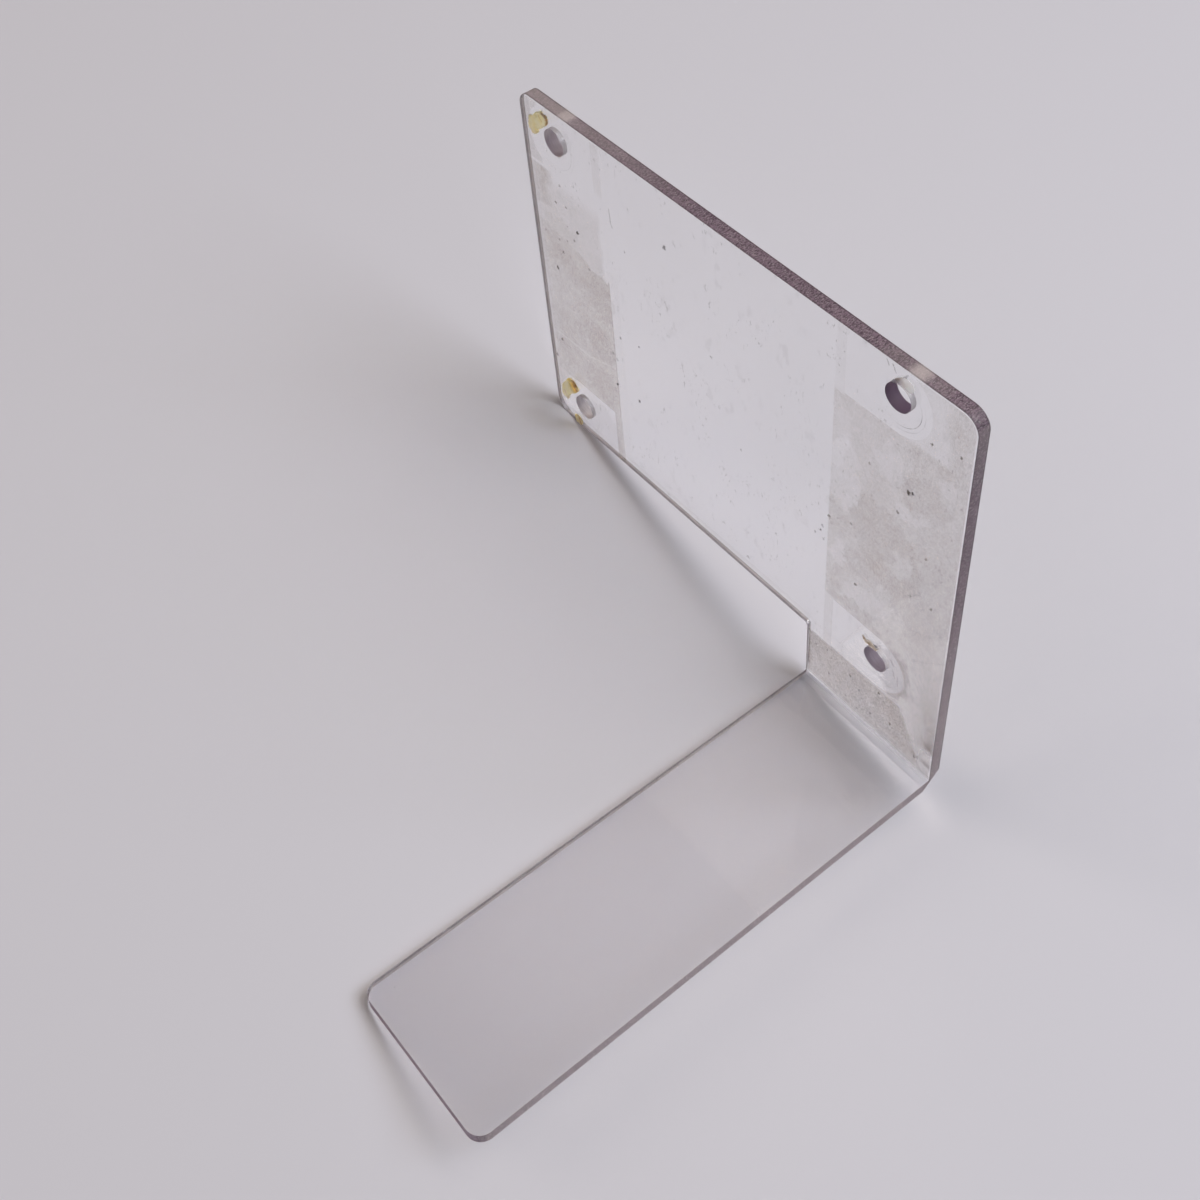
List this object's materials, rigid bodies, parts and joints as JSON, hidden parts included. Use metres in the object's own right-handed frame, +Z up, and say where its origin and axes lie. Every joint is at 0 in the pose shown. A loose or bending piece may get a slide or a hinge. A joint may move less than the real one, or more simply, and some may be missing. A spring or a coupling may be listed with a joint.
{
  "type": "phone stand",
  "caption": "Clear plastic sheet bent into an upright panel with corner holes and a long narrow foot, marked by old tape film and glue.",
  "frame": {"origin": "bottom centre of the bounding box: the middle in X and Y, and the lowest line of the bend in Z", "axes": "+X along the panel toward the neck's side, +Y out of the panel's back, +Z up the panel; the foot runs along -Y"},
  "size_m": [0.1296, 0.1234, 0.1169],
  "materials": {
    "clear_sheet": "clear, glossy faces; machined, darker edges",
    "tape_residue": "thin mottled adhesive film",
    "dried_glue": "brittle, glossy, yellow",
    "tan_glue": "thin, dull, brown"
  },
  "bodies": {
    "root": {"bent_sheet": "clear_sheet", "tape_residue_left": "tape_residue", "tape_residue_right": "tape_residue", "glue_flake_upper": "dried_glue", "glue_flake_lower": "dried_glue", "glue_streak": "dried_glue", "glue_patch": "tan_glue", "glue_curl": "tan_glue"}
  },
  "joints": []
}
